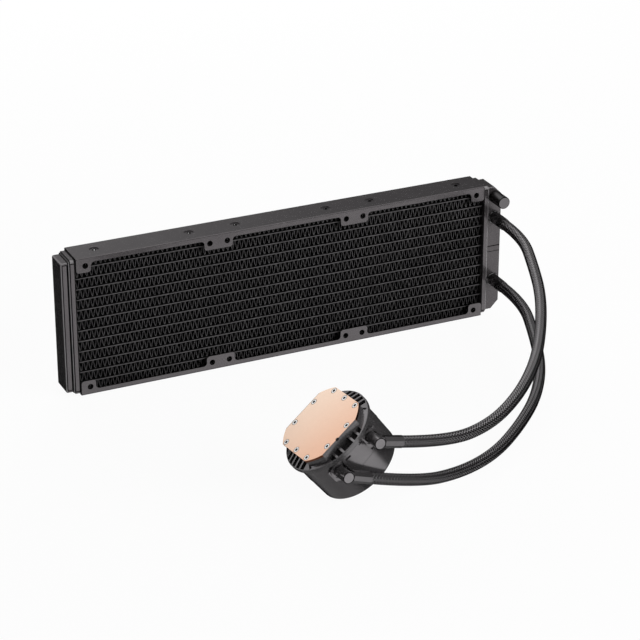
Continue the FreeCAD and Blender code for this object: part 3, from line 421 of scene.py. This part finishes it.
def tank_painted_shade(spot):
    """Painted shade at the joints of the header plates, in the grooves of the panels and the rib,
    and a little over the whole port tank.
    """
    x = spot.part("X")
    out, front, height = radiator_spot(spot)
    sunk = front.within(TANK_FACE - GROOVE_DEPTH, TANK_FACE - HAIR)
    band = out.within(HEADER_START, RIM_END) * height.within(*BAND_CREASE)
    rib = x.within(LIP_END, RIB_END) * height.within(RIB_REACH, RIB_REACH + RIB_GROOVE)
    return strongest(
        out.within(HEADER_START, HEADER_START + HEADER_JOINT),
        out.within(RIM_END, RIM_END + RIM_JOINT),
        out.within(LIP_END, LIP_END + LIP_JOINT),
        out.within(*PANEL_SIDES) * height.short_of(PANEL_REACH) * sunk,
        rib * sunk,
        band * front.step(BAND_FACE - CREASE_DEPTH, BAND_FACE),
        # Painted shade darkening the port tank a little
        x.beyond(LIP_END) * PORT_TANK_SHADE,
    )


def tank_painted_highlights(spot):
    """Painted highlights along the rounded outer edges of the tanks and the header plates."""
    out, front, height = radiator_spot(spot)
    near_front = front.beyond(TANK_FACE - TANK_ROUND)
    near_end = height.step(TANK_HALF_HEIGHT - TANK_ROUND, TANK_HALF_HEIGHT)
    on_left = spot.part("X").step(*LEFT_TANK, 1.0, 0.0)
    band = out.within(HEADER_START, RIM_END) * height.within(*BAND_ROUND)
    lip = out.within(RIM_END + RIM_JOINT, LIP_END)
    return strongest(
        out.beyond(LIP_END) * near_front * near_end,
        out.within(*SIDE_HIGHLIGHT) * near_front * on_left,
        band * front.step(*BAND_HIGHLIGHT),
        lip * front.step(TANK_FACE, TANK_FACE + LIP_HIGHLIGHT),
    )


def frame_painted_shade(spot):
    """Painted shade in the screw holes with their dimples, and on the cut edges of the sheet."""
    front = spot.part("Y").size()
    height = (spot.part("Z") - MID_HEIGHT).size()
    sunk = front.within(FRAME_FACE - FRAME_SHEET, FRAME_FACE - HOLE_LIP)
    dimple = height.step(DIMPLE_FLOOR - HOLE_LIP, DIMPLE_FLOOR, 1.0, 0.0)
    return strongest(
        sunk * spot.part("Z").within(BEND_REACH, FRAME_HEIGHT - BEND_REACH),
        dimple * front.step(*DIMPLE_REACH, 1.0, 0.0),
    )


def cap_rim(spot):
    """Shadow line round the cap's end, and a fainter one along its side."""
    place = spot.node("ShaderNodeCombineXYZ", {0: spot.part("X"), 1: spot.part("Z")})
    reach = place.distance(CAP_AXIS)
    end = spot.part("Y").step(*CAP_LINE_END, 1.0, 0.0)
    side = reach.within(*CAP_SIDE_LINE) * CAP_SIDE_SHADE
    return strongest(end * reach.beyond(CAP_LINE_RADIUS), side)


def elbow_rim(spot):
    """Shadow line round each elbow's end."""
    along, across, outward = plate_spot(spot)
    place = spot.node("ShaderNodeCombineXYZ", {0: along.size(), 1: outward})
    reach = place.distance(ELBOW_AXIS)
    return across.beyond(ELBOW_LINE_START) * reach.beyond(ELBOW_LINE_RADIUS)


def plate_spot(spot):
    """Place on the plate: along it, across it and out of its face."""
    ways = (PLATE_ALONG, PLATE_ACROSS, PLATE_NORMAL)
    return [spot.along(way) - middle for way, middle in zip(ways, PLATE_MIDDLE)]


def copper(spot, chart):
    """Machined copper: fine tool marks, painted shade deepening its tone towards the elbows, and
    painted shadow round each screw and along the far edge.
    """
    ways = plate_spot(spot)
    along, across, outward = ways
    lined = {index: way * scale for index, (way, scale) in enumerate(zip(ways, MARK_SCALES))}
    marks = spot.node("ShaderNodeCombineXYZ", lined).noise(1.0, 2.0, 0.5)
    cloud = spot.noise(45.0, 3.0)
    fleck = spot.noise(700.0, 2.0).spread()
    # Painted shade: the copper's tone darkens towards the elbows
    lie = across - along * 0.35 + cloud * 0.006
    lit_copper = fleck.tint((0.9, 0.7, 0.56), (0.92, 0.72, 0.58))
    painted_darkness = fleck.tint((0.79, 0.455, 0.31), (0.81, 0.475, 0.33))
    tone = lie.step(*PLATE_SHADE_SPAN).tinted(lit_copper, painted_darkness)
    # Side wall painted dark grey along its straight runs and dark brown round its turns
    brown = fleck.tint((0.3, 0.1, 0.045), (0.38, 0.14, 0.06))
    side_grey = fleck.tint((0.14, 0.134, 0.137), (0.17, 0.163, 0.166))
    wall = along.size().step(PLATE_STRAIGHT, PLATE_STRAIGHT + PLATE_TURN).tinted(side_grey, brown)
    # Painted shadow rings round the screws, and a painted shadow line along the far edge
    corner = spot.node("ShaderNodeCombineXYZ", {0: along.size(), 1: across.size()})
    screw_shadow_rings = [
        corner.distance(place).within(SCREW_RADIUS, SCREW_RADIUS + SCREW_SEAT)
        for place in SCREW_PLACES
    ]
    lines = strongest(*screw_shadow_rings, across.step(*PLATE_FAR_EDGE))
    painted_shade_colour = fleck.tint((0.1, 0.07, 0.055), (0.14, 0.1, 0.08))
    return {
        "Base Color": lines.tinted(outward.short_of(PLATE_SIDE).tinted(tone, wall), painted_shade_colour),
        "Metallic": 1.0,
        "Roughness": marks.spread(0.255, 0.27),
        "bump": (marks, 0.000002, 0.04),
    }


def socket_screw(spot, chart):
    """Bright turned steel, with painted shade, near black, within the key socket."""
    outward = plate_spot(spot)[2]
    tone = spot.noise(900.0, 3.0)
    turned = tone.spread().tint((0.76, 0.76, 0.75), (0.86, 0.86, 0.85))
    # Painted shade within the key socket
    socket_shade = tone.spread().tint((0.003, 0.003, 0.003), (0.008, 0.008, 0.008))
    return {
        "Base Color": outward.short_of(SOCKET_MOUTH).tinted(turned, socket_shade),
        "Metallic": 1.0,
        "Roughness": tone.spread(0.22, 0.32),
        "bump": (tone, 0.00001, 0.2),
    }


def metal(low, high, rough):
    """Bare metal with tool marks."""
    def build(spot, chart):
        tone = spot.noise(400.0, 3.0)
        marks = spot.stretched((3000.0, 900.0, 900.0)).noise(1.0, 2.0)
        return {
            "Base Color": tone.spread().tint(low, high),
            "Metallic": 1.0,
            "Roughness": marks.spread(rough - 0.06, rough + 0.08),
            "bump": (marks, 0.00002, 0.3),
        }
    return build


def laminated(spot, chart):
    """Stack of thin steel sheets."""
    sheets = (spot.along(PLATE_NORMAL) * (2 * math.pi / CORE_SHEET_PITCH)).wave()
    tone = spot.noise(500.0, 3.0)
    return {
        "Base Color": tone.spread().tint((0.2, 0.2, 0.21), (0.32, 0.32, 0.33)),
        "Metallic": 0.9,
        "Roughness": tone.spread(0.4, 0.55),
        "bump": (sheets, 0.00008, 0.5),
    }


def wound(spot, chart):
    """Enamelled wire, turn beside turn."""
    across = spot.along(PLATE_ACROSS)
    along = spot.along(PLATE_ALONG)
    reach = (across * across + along * along).math("SQRT")
    turns = (reach * (2 * math.pi / WIRE_PITCH)).wave().size()
    tone = spot.noise(900.0, 2.0)
    return {
        "Base Color": tone.spread().tint((0.42, 0.13, 0.05), (0.55, 0.2, 0.08)),
        "Metallic": 0.6,
        "Roughness": tone.spread(0.25, 0.38),
        "bump": (turns, 0.00012, 0.6),
    }


def board(spot, chart):
    """Green lacquer over the copper lanes of a circuit board."""
    along = spot.along(PLATE_ALONG) * BOARD_LANES[0]
    across = spot.along(PLATE_ACROSS) * BOARD_LANES[1]
    lanes = along.wave() * across.wave()
    tone = spot.noise(300.0, 2.0)
    base = tone.spread().tint((0.01, 0.06, 0.03), (0.015, 0.09, 0.045))
    lane = tone.spread().tint((0.03, 0.15, 0.07), (0.04, 0.17, 0.08))
    return {
        "Base Color": lanes.step(0.3, 0.5).tinted(base, lane),
        "Roughness": tone.spread(0.28, 0.4),
        "bump": (lanes, 0.00003, 0.4),
    }


def braid(spot, chart):
    """Yarn of the woven sleeve: parallel filaments, with painted shade, near black, at its sides
    and where it dips under.
    """
    across = chart.part("X")
    beat = chart.part("Y")
    filament = (across * (FILAMENTS * math.pi)).wave().size()
    side = (across - 0.5).size().step(*YARN_SIDE)
    crown = (beat * (2 * math.pi)).wave().step(*YARN_CROWN)
    tone = spot.noise(900.0, 3.0)
    light = filament.tint((0.3, 0.288, 0.296), (0.44, 0.425, 0.435))
    # Painted shade at the yarn's sides and where it dips under
    painted_shade_colour = tone.spread().tint((0.003, 0.003, 0.003), (0.008, 0.008, 0.008))
    return {
        "Base Color": side.tinted(crown.tinted(painted_shade_colour, light), painted_shade_colour),
        "Metallic": 1.0,
        "Roughness": tone.spread(0.16, 0.22),
        "bump": (filament, 0.00002, 0.3),
    }


def tube_rubber(spot, chart):
    """Dull black rubber."""
    tone = spot.noise(600.0, 3.0)
    return {
        "Base Color": tone.spread().tint((0.008, 0.008, 0.008), (0.018, 0.018, 0.019)),
        "Roughness": tone.spread(0.6, 0.75),
        "bump": (tone, 0.00005, 0.4),
    }


# Two tones of each coat, and each slot's finish
PAINT = ((0.132, 0.122, 0.127), (0.15, 0.139, 0.144))
PORT_PAINT = ((0.16, 0.153, 0.157), (0.185, 0.177, 0.182))
SLEEVE_PAINT = ((0.14, 0.134, 0.138), (0.17, 0.163, 0.167))
RING_TONES = ((0.15, 0.144, 0.148), (0.18, 0.173, 0.177))
HOUSING_TONES = ((0.19, 0.181, 0.187), (0.22, 0.21, 0.216))
ELBOW_TONES = ((0.215, 0.205, 0.211), (0.245, 0.234, 0.241))
INNER_TONES = ((0.03, 0.03, 0.032), (0.05, 0.05, 0.052))
FINISHES = {
    "frame_paint": shaded(coated(*PAINT, 0.22, 2600.0, 0.75), frame_painted_shade),
    "tank_paint": shaded(coated(*PAINT, 0.2, 2600.0, 0.75), tank_painted_shade, tank_painted_highlights),
    "core_paint": tube_sheet,
    "fin_paint": fin_sheet,
    "port_paint": shaded(coated(*PORT_PAINT, 0.16, 1800.0, 0.95), cap_rim),
    "sleeve_paint": coated(*SLEEVE_PAINT, 0.16, 1800.0, 0.95),
    "copper": copper,
    "screw_steel": socket_screw,
    "shaft_steel": metal((0.55, 0.55, 0.56), (0.68, 0.68, 0.69), 0.25),
    "core_steel": laminated,
    "coil_copper": wound,
    "magnet": metal((0.06, 0.06, 0.065), (0.1, 0.1, 0.105), 0.5),
    "board": board,
    "seal_rubber": tube_rubber,
    "inner_plastic": coated(*INNER_TONES, 0.45, 2400.0, depth=0.00003),
    "ring_plastic": coated(*RING_TONES, 0.22, 2800.0, 0.8),
    "housing_plastic": coated(*HOUSING_TONES, 0.17, 2800.0, 0.85),
    "cap_plastic": coated(*HOUSING_TONES, 0.17, 2800.0, 0.85),
    "elbow_plastic": shaded(coated(*ELBOW_TONES, 0.16, 2600.0, 0.8), elbow_rim),
    "hose_braid": braid,
}
finished = {name: material(name, build) for name, build in FINISHES.items()}
tube_finish = material("hose_rubber", tube_rubber)


def dress_nodes():
    """Every CAD node takes the material of its slot."""
    for row in frame["record"]["subparts"]:
        node = frame["nodes"][row["node"]]
        node.data.materials.clear()
        node.data.materials.append(finished[row["material_slot"]])


# Pieces in mesh code

def add_piece(name, shape, finish, smooth=True):
    mesh = bpy.data.meshes.new(name)
    bmesh.ops.recalc_face_normals(shape, faces=shape.faces)
    for face in shape.faces:
        face.smooth = smooth
    shape.to_mesh(mesh)
    shape.free()
    mesh.materials.append(finish)
    piece = bpy.data.objects.new(name, mesh)
    bpy.context.scene.collection.objects.link(piece)
    return piece


def loop_faces(shape, rings, close_ends, chart=None, runs=None):
    """Quads between rings of vertices; chart takes (across, along) for each corner."""
    size = len(rings[0])
    for index in range(len(rings) - 1):
        near, far = rings[index], rings[index + 1]
        for k in range(size):
            n = (k + 1) % size
            face = shape.faces.new((near[k], near[n], far[n], far[k]))
            if chart is not None:
                low, high = runs[index], runs[index + 1]
                start, end = (k / (size - 1), (k + 1) / (size - 1)) if k < size - 1 else (1.0, 0.0)
                spots = ((start, low), (end, low), (end, high), (start, high))
                for loop, place in zip(face.loops, spots):
                    loop[chart].uv = place
    if close_ends:
        shape.faces.new(rings[0])
        shape.faces.new(rings[-1])


def fin_profile():
    """Zigzag of one strip as (x, z) points, with a rounded fold at each peak."""
    half = FIN_LENGTH / 2
    step = FIN_LENGTH / (2 * FIN_FOLDS)
    swing = FIN_HEIGHT / 2 - FIN_SHEET / 2
    points = []
    for k in range(2 * FIN_FOLDS + 1):
        x = -half + k * step
        way = 1 if k % 2 == 0 else -1
        if k > 0:
            points.append((x - FIN_BEND, way * (swing - FIN_BEND_DROP)))
        points.append((x, way * swing))
        if k < 2 * FIN_FOLDS:
            points.append((x + FIN_BEND, way * (swing - FIN_BEND_DROP)))
    return points


def sheet_sides(profile):
    """The two sides of the folded sheet, each half its thickness from the zigzag line."""
    runs = [
        Vector((after[0] - before[0], after[1] - before[1])).normalized()
        for before, after in zip(profile, profile[1:])
    ]
    sides = ([], [])
    for index, (x, z) in enumerate(profile):
        arriving = runs[max(index - 1, 0)]
        leaving = runs[min(index, len(runs) - 1)]
        bisector = (arriving + leaving).normalized()
        square = Vector((-bisector.y, bisector.x))
        reach = FIN_SHEET / 2 / max(bisector.dot(leaving), FIN_MITRE_LIMIT)
        sides[0].append((x + square.x * reach, z + square.y * reach))
        sides[1].append((x - square.x * reach, z - square.y * reach))
    return sides


def fin_row(index, sides):
    centre = FIN_ROW_CENTRE + (index - (FIN_ROWS - 1) / 2) * FIN_ROW_PITCH
    shape = bmesh.new()
    rings = []
    half = FIN_DEPTH / 2
    for (high_x, high_z), (low_x, low_z) in zip(*sides):
        corners = (
            (low_x, -half, centre + low_z),
            (low_x, half, centre + low_z),
            (high_x, half, centre + high_z),
            (high_x, -half, centre + high_z),
        )
        rings.append([shape.verts.new([value * MM for value in corner]) for corner in corners])
    loop_faces(shape, rings, True)
    name = "fin_strip_%02d" % (index + 1)
    piece = add_piece("folded_fins_%02d" % (index + 1), shape, finished["fin_paint"], smooth=False)
    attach(piece, "cooler")
    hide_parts(name)


def build_fins():
    sides = sheet_sides(fin_profile())
    for index in range(FIN_ROWS):
        fin_row(index, sides)


# Hoses

def route_line(name, route):
    """Smooth line of a hose, read from a spline with the route's points as control points."""
    curve = bpy.data.curves.new(name, "CURVE")
    curve.dimensions = "3D"
    curve.resolution_u = ROUTE_FINENESS
    spline = curve.splines.new("NURBS")
    spline.points.add(len(route) - 1)
    for point, place in zip(spline.points, route):
        point.co = (place[0] * MM, place[1] * MM, place[2] * MM, 1.0)
    spline.order_u = 3
    spline.use_endpoint_u = True
    holder = bpy.data.objects.new(name, curve)
    bpy.context.scene.collection.objects.link(holder)
    bpy.context.view_layer.update()
    mesh = bpy.data.meshes.new_from_object(holder)
    points = [vertex.co.copy() for vertex in mesh.vertices]
    bpy.data.objects.remove(holder)
    bpy.data.curves.remove(curve)
    bpy.data.meshes.remove(mesh)
    return points


def even_line(points, count):
    """Frames an even length apart along the line, which don't turn round it, and its length."""
    lengths = [0.0]
    for before, after in zip(points, points[1:]):
        lengths.append(lengths[-1] + (after - before).length)
    total = lengths[-1]
    places = []
    index = 0
    for k in range(count + 1):
        reach = total * k / count
        while index < len(points) - 2 and lengths[index + 1] < reach:
            index += 1
        share = (reach - lengths[index]) / (lengths[index + 1] - lengths[index])
        places.append(points[index].lerp(points[index + 1], min(max(share, 0.0), 1.0)))
    frames = []
    side = None
    for k, place in enumerate(places):
        ahead = places[min(k + 1, count)] - places[max(k - 1, 0)]
        ahead.normalize()
        if side is None:
            side = ahead.orthogonal().normalized()
        else:
            side = (side - ahead * side.dot(ahead)).normalized()
        frames.append((place, side.copy(), ahead.cross(side)))
    return frames, total


def on_hose(hose_frame, angle, radius):
    """Point round the hose's line, with the radius in millimetres."""
    place, side, other = hose_frame
    return place + (side * math.cos(angle) + other * math.sin(angle)) * (radius * MM)


def hose_tube(name, frames):
    """Rubber tube under the woven sleeve, open along its bore."""
    shape = bmesh.new()
    angles = [2 * math.pi * k / TUBE_SIDES for k in range(TUBE_SIDES)]
    walls = []
    for radius in (SLEEVE_RADIUS - TUBE_SINK, HOSE_BORE / 2):
        rings = []
        for hose_frame in frames:
            rings.append([shape.verts.new(on_hose(hose_frame, angle, radius)) for angle in angles])
        loop_faces(shape, rings, False)
        walls.append(rings)
    outer, inner = walls
    for index in (0, -1):
        for k in range(TUBE_SIDES):
            n = (k + 1) % TUBE_SIDES
            shape.faces.new((outer[index][k], outer[index][n], inner[index][n], inner[index][k]))
    return add_piece(name, shape, tube_finish)


def hose_sleeve(name, frames, total):
    """Woven sleeve: flat strands that wind both ways and pass over and under each other."""
    shape = bmesh.new()
    chart = shape.loops.layers.uv.new("UVMap")
    count = len(frames) - 1
    turns = total / MM / (SLEEVE_STRANDS * SLEEVE_CELL)
    for way in (-1, 1):
        for strand in range(SLEEVE_STRANDS):
            rings = []
            beats = []
            for k, hose_frame in enumerate(frames):
                share = k / count
                angle = way * 2 * math.pi * turns * share + 2 * math.pi * strand / SLEEVE_STRANDS
                # The two ways are half a beat apart, so one is up where the other is down
                beat = SLEEVE_STRANDS * turns * share + (2 - way) / 4
                lift = SLEEVE_SWING * math.sin(2 * math.pi * beat)
                ring = []
                for across, up in STRAND_SECTION:
                    radius = SLEEVE_RADIUS + lift + (up - 0.5) * STRAND_HEIGHT
                    shift = across * STRAND_WIDTH * math.sqrt(2) / SLEEVE_RADIUS
                    ring.append(shape.verts.new(on_hose(hose_frame, angle + shift, radius)))
                rings.append(ring)
                beats.append(beat)
            loop_faces(shape, rings, True, chart, beats)
    return add_piece(name, shape, finished["hose_braid"])


def build_hose(node, route):
    points = route_line(node + "_line", route)
    frames, total = even_line(points, TUBE_RINGS)
    tube = hose_tube(node + "_tube", frames)
    cells = total / MM / SLEEVE_CELL
    fine = even_line(points, int(cells * RINGS_A_CELL))[0]
    sleeve = hose_sleeve(node + "_sleeve", fine, total)
    for piece in (tube, sleeve):
        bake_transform(piece)
        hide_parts(node)


# Studio

def light(name, place, target, size, power):
    """Lamp that the gloss doesn't show."""
    lamp = bpy.data.lights.new(name, "AREA")
    lamp.shape = "RECTANGLE"
    lamp.size, lamp.size_y = size
    lamp.energy = power
    holder = bpy.data.objects.new(name, lamp)
    holder.location = place
    holder.rotation_euler = (Vector(target) - Vector(place)).to_track_quat("-Z", "Y").to_euler()
    holder.visible_glossy = False
    bpy.context.scene.collection.objects.link(holder)


def toned(tree, kind, tone):
    """Shader node of a plain grey."""
    made = tree.nodes.new(kind)
    made.inputs[0].default_value = (tone, tone, tone, 1.0)
    return made


def mixed(tree, share, first, second):
    """Mix of two shader nodes, by a plain share or by a socket."""
    made = tree.nodes.new("ShaderNodeMixShader")
    if isinstance(share, float):
        made.inputs[0].default_value = share
    else:
        tree.links.new(share, made.inputs[0])
    tree.links.new(first.outputs[0], made.inputs[1])
    tree.links.new(second.outputs[0], made.inputs[2])
    return made


def floor_finish():
    """White floor that keeps a faint shadow; metal sees the studio's own glow through it."""
    finish = bpy.data.materials.new("floor_paint")
    tree = blank_tree(finish)
    output = tree.nodes.new("ShaderNodeOutputMaterial")
    rays = tree.nodes.new("ShaderNodeLightPath")
    matte = toned(tree, "ShaderNodeBsdfDiffuse", FLOOR_TONE)
    white = toned(tree, "ShaderNodeEmission", 1.0)
    clear = tree.nodes.new("ShaderNodeBsdfTransparent")
    seen = mixed(tree, FLOOR_WHITENESS, matte, white)
    direct = mixed(tree, rays.outputs["Is Camera Ray"], matte, seen)
    whole = mixed(tree, rays.outputs["Is Glossy Ray"], direct, clear)
    tree.links.new(whole.outputs[0], output.inputs[0])
    return finish


def studio_glow():
    """White behind the object; for its gloss, glows in front, behind, above, low down and below."""
    world = bpy.data.worlds.new("studio")
    bpy.context.scene.world = world
    tree = blank_tree(world)
    output = tree.nodes.new("ShaderNodeOutputWorld")
    rays = tree.nodes.new("ShaderNodeLightPath")
    place = tree.nodes.new("ShaderNodeTexCoord")
    way = Field(tree, place.outputs["Generated"])
    height = way.part("Z")
    front = way.along(FRONT_GLOW_WAY).step(*FRONT_GLOW)
    back = way.along(BACK_GLOW_WAY).step(*BACK_GLOW) * height.step(*BACK_GLOW_FOOT)
    above = height.step(*HIGH_GLOW) + height.step(*TOP_GLOW)
    low = height.step(*LOW_GLOW_FOOT) * height.step(*LOW_GLOW_TOP)
    low = low * way.part("X").step(*LOW_GLOW_X) * way.part("Y").step(*LOW_GLOW_Y)
    below = height.step(*FLOOR_GLOW)
    glow = front + back + above + low + below + LEAST_GLOW
    gloss = tree.nodes.new("ShaderNodeBackground")
    tree.links.new(glow.socket, gloss.inputs["Strength"])
    soft = toned(tree, "ShaderNodeBackground", SOFT_LIGHT)
    white = toned(tree, "ShaderNodeBackground", 1.0)
    mirrored = mixed(tree, rays.outputs["Is Glossy Ray"], soft, gloss)
    whole = mixed(tree, rays.outputs["Is Camera Ray"], mirrored, white)
    tree.links.new(whole.outputs[0], output.inputs[0])


def aim_camera():
    """The photograph's own camera."""
    camera = bpy.data.cameras.new("camera")
    camera.lens = CAMERA_LENS
    camera.sensor_width = CAMERA_SENSOR
    camera.sensor_fit = "HORIZONTAL"
    camera.clip_start, camera.clip_end = CAMERA_CLIP
    holder = bpy.data.objects.new("camera", camera)
    holder.location = CAMERA_PLACE
    tilt = math.radians(90.0 - CAMERA_ELEVATION)
    holder.rotation_euler = (tilt, 0.0, math.radians(CAMERA_AZIMUTH))
    bpy.context.scene.collection.objects.link(holder)
    bpy.context.scene.camera = holder


def build_studio():
    shape = bmesh.new()
    bmesh.ops.create_grid(shape, x_segments=FLOOR_CELLS, y_segments=FLOOR_CELLS, size=FLOOR_SIZE)
    floor = add_piece("floor", shape, floor_finish())
    studio_glow()
    for lamp in LAMPS:
        light(*lamp)
    aim_camera()
    bpy.context.scene.view_settings.view_transform = "Standard"


build_studio()
build_hose("upper_hose", UPPER_ROUTE)
build_hose("lower_hose", LOWER_ROUTE)
dress_nodes()
build_fins()
